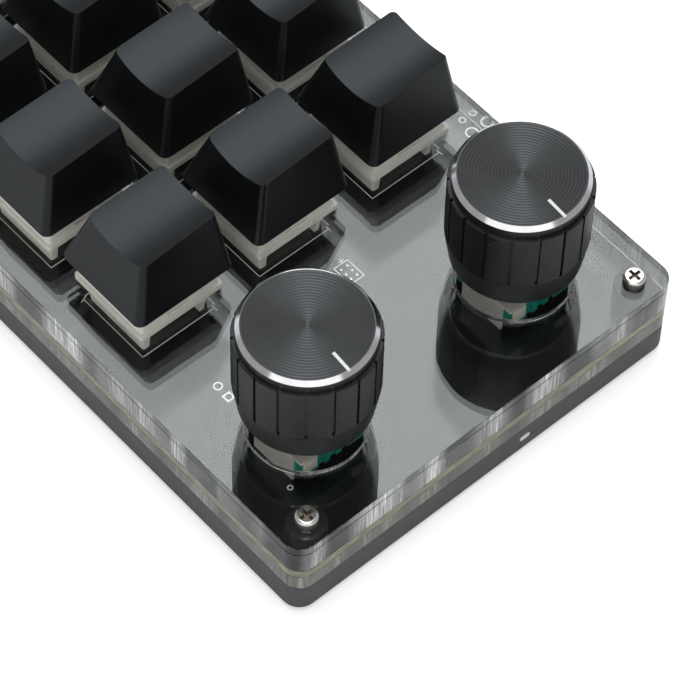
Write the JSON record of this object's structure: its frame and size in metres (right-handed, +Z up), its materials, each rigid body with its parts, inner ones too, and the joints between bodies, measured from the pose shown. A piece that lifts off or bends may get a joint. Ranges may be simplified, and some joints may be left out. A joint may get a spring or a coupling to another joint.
{
  "type": "macro keypad",
  "caption": "Desktop keypad of sprung keys with two push-and-turn knobs on a clear acrylic and black layered body, with a cable socket at the back.",
  "frame": {"origin": "on the table, under the middle of the body", "axes": "+X to the right where the knobs are, +Y to the back where the cable socket is, +Z up"},
  "size_m": [0.1292, 0.0742, 0.0398],
  "materials": {
    "clear_acrylic": "polished",
    "smoked_acrylic": "polished",
    "board_laminate": "glossy solder mask",
    "black_base": "fine matte texture",
    "clear_window": "polished",
    "black_rubber": "matte",
    "screw_steel": "bright zinc plated",
    "black_nylon": "matte",
    "socket_steel": "satin",
    "chip_epoxy": "matte",
    "milky_housing": "translucent milky",
    "pin_brass": "tinned",
    "light_body": "white with clear lens",
    "black_keycap": "satin fine grain",
    "stem_plastic": "satin",
    "spring_steel": "bright",
    "green_plastic": "satin",
    "cover_steel": "satin plated",
    "rotor_plastic": "matte",
    "shaft_steel": "turned",
    "black_anodised": "black anodised, turned, bright bevel"
  },
  "bodies": {
    "case": {"top_plate": "clear_acrylic", "mid_frame": "clear_acrylic", "circuit_board": "board_laminate", "lower_spacer": "smoked_acrylic", "base_tray": "black_base", "light_window": "clear_window", "rubber_feet": "black_rubber", "corner_screws": "screw_steel", "screw_spacers": "black_nylon", "cable_socket": "socket_steel", "board_chips": "chip_epoxy", "switch_bases": "milky_housing", "switch_tops": "milky_housing", "switch_pins": "pin_brass", "plug_sockets": "black_nylon", "key_lights": "light_body", "encoder_bases": "green_plastic", "encoder_covers": "cover_steel", "spring_r1c1": "spring_steel", "spring_r1c2": "spring_steel", "spring_r1c3": "spring_steel", "spring_r1c4": "spring_steel", "spring_r2c1": "spring_steel", "spring_r2c2": "spring_steel", "spring_r2c3": "spring_steel", "spring_r2c4": "spring_steel", "spring_r3c1": "spring_steel", "spring_r3c2": "spring_steel", "spring_r3c3": "spring_steel", "spring_r3c4": "spring_steel"},
    "key_r1c1": {"keycap_r1c1": "black_keycap", "stem_r1c1": "stem_plastic"},
    "key_r1c2": {"keycap_r1c2": "black_keycap", "stem_r1c2": "stem_plastic"},
    "key_r1c3": {"keycap_r1c3": "black_keycap", "stem_r1c3": "stem_plastic"},
    "key_r1c4": {"keycap_r1c4": "black_keycap", "stem_r1c4": "stem_plastic"},
    "key_r2c1": {"keycap_r2c1": "black_keycap", "stem_r2c1": "stem_plastic"},
    "key_r2c2": {"keycap_r2c2": "black_keycap", "stem_r2c2": "stem_plastic"},
    "key_r2c3": {"keycap_r2c3": "black_keycap", "stem_r2c3": "stem_plastic"},
    "key_r2c4": {"keycap_r2c4": "black_keycap", "stem_r2c4": "stem_plastic"},
    "key_r3c1": {"keycap_r3c1": "black_keycap", "stem_r3c1": "stem_plastic"},
    "key_r3c2": {"keycap_r3c2": "black_keycap", "stem_r3c2": "stem_plastic"},
    "key_r3c3": {"keycap_r3c3": "black_keycap", "stem_r3c3": "stem_plastic"},
    "key_r3c4": {"keycap_r3c4": "black_keycap", "stem_r3c4": "stem_plastic"},
    "rotor_front": {"encoder_rotor_front": "rotor_plastic"},
    "dial_front": {"knob_front": "black_anodised", "knob_shaft_front": "shaft_steel"},
    "rotor_back": {"encoder_rotor_back": "rotor_plastic"},
    "dial_back": {"knob_back": "black_anodised", "knob_shaft_back": "shaft_steel"}
  },
  "joints": [
    {"name": "press_r1c1", "type": "slide", "parent": "case", "child": "key_r1c1", "axis": [0, 0, -1], "range_m": [0, 0.004], "stiffness_N_per_m": 75, "springref_m": -0.004, "deforming": ["spring_r1c1"]},
    {"name": "press_r1c2", "type": "slide", "parent": "case", "child": "key_r1c2", "axis": [0, 0, -1], "range_m": [0, 0.004], "stiffness_N_per_m": 75, "springref_m": -0.004, "deforming": ["spring_r1c2"]},
    {"name": "press_r1c3", "type": "slide", "parent": "case", "child": "key_r1c3", "axis": [0, 0, -1], "range_m": [0, 0.004], "stiffness_N_per_m": 75, "springref_m": -0.004, "deforming": ["spring_r1c3"]},
    {"name": "press_r1c4", "type": "slide", "parent": "case", "child": "key_r1c4", "axis": [0, 0, -1], "range_m": [0, 0.004], "stiffness_N_per_m": 75, "springref_m": -0.004, "deforming": ["spring_r1c4"]},
    {"name": "press_r2c1", "type": "slide", "parent": "case", "child": "key_r2c1", "axis": [0, 0, -1], "range_m": [0, 0.004], "stiffness_N_per_m": 75, "springref_m": -0.004, "deforming": ["spring_r2c1"]},
    {"name": "press_r2c2", "type": "slide", "parent": "case", "child": "key_r2c2", "axis": [0, 0, -1], "range_m": [0, 0.004], "stiffness_N_per_m": 75, "springref_m": -0.004, "deforming": ["spring_r2c2"]},
    {"name": "press_r2c3", "type": "slide", "parent": "case", "child": "key_r2c3", "axis": [0, 0, -1], "range_m": [0, 0.004], "stiffness_N_per_m": 75, "springref_m": -0.004, "deforming": ["spring_r2c3"]},
    {"name": "press_r2c4", "type": "slide", "parent": "case", "child": "key_r2c4", "axis": [0, 0, -1], "range_m": [0, 0.004], "stiffness_N_per_m": 75, "springref_m": -0.004, "deforming": ["spring_r2c4"]},
    {"name": "press_r3c1", "type": "slide", "parent": "case", "child": "key_r3c1", "axis": [0, 0, -1], "range_m": [0, 0.004], "stiffness_N_per_m": 75, "springref_m": -0.004, "deforming": ["spring_r3c1"]},
    {"name": "press_r3c2", "type": "slide", "parent": "case", "child": "key_r3c2", "axis": [0, 0, -1], "range_m": [0, 0.004], "stiffness_N_per_m": 75, "springref_m": -0.004, "deforming": ["spring_r3c2"]},
    {"name": "press_r3c3", "type": "slide", "parent": "case", "child": "key_r3c3", "axis": [0, 0, -1], "range_m": [0, 0.004], "stiffness_N_per_m": 75, "springref_m": -0.004, "deforming": ["spring_r3c3"]},
    {"name": "press_r3c4", "type": "slide", "parent": "case", "child": "key_r3c4", "axis": [0, 0, -1], "range_m": [0, 0.004], "stiffness_N_per_m": 75, "springref_m": -0.004, "deforming": ["spring_r3c4"]},
    {"name": "turn_front", "type": "hinge", "parent": "case", "child": "rotor_front", "pos_m": [0.04761, -0.0208, 0.0166], "axis": [0, 0, 1], "continuous": true},
    {"name": "push_front", "type": "slide", "parent": "rotor_front", "child": "dial_front", "axis": [0, 0, -1], "range_m": [0, 0.0005], "stiffness_N_per_m": 6000, "springref_m": -0.0002},
    {"name": "turn_back", "type": "hinge", "parent": "case", "child": "rotor_back", "pos_m": [0.04761, 0.0198, 0.0166], "axis": [0, 0, 1], "continuous": true},
    {"name": "push_back", "type": "slide", "parent": "rotor_back", "child": "dial_back", "axis": [0, 0, -1], "range_m": [0, 0.0005], "stiffness_N_per_m": 6000, "springref_m": -0.0002}
  ]
}
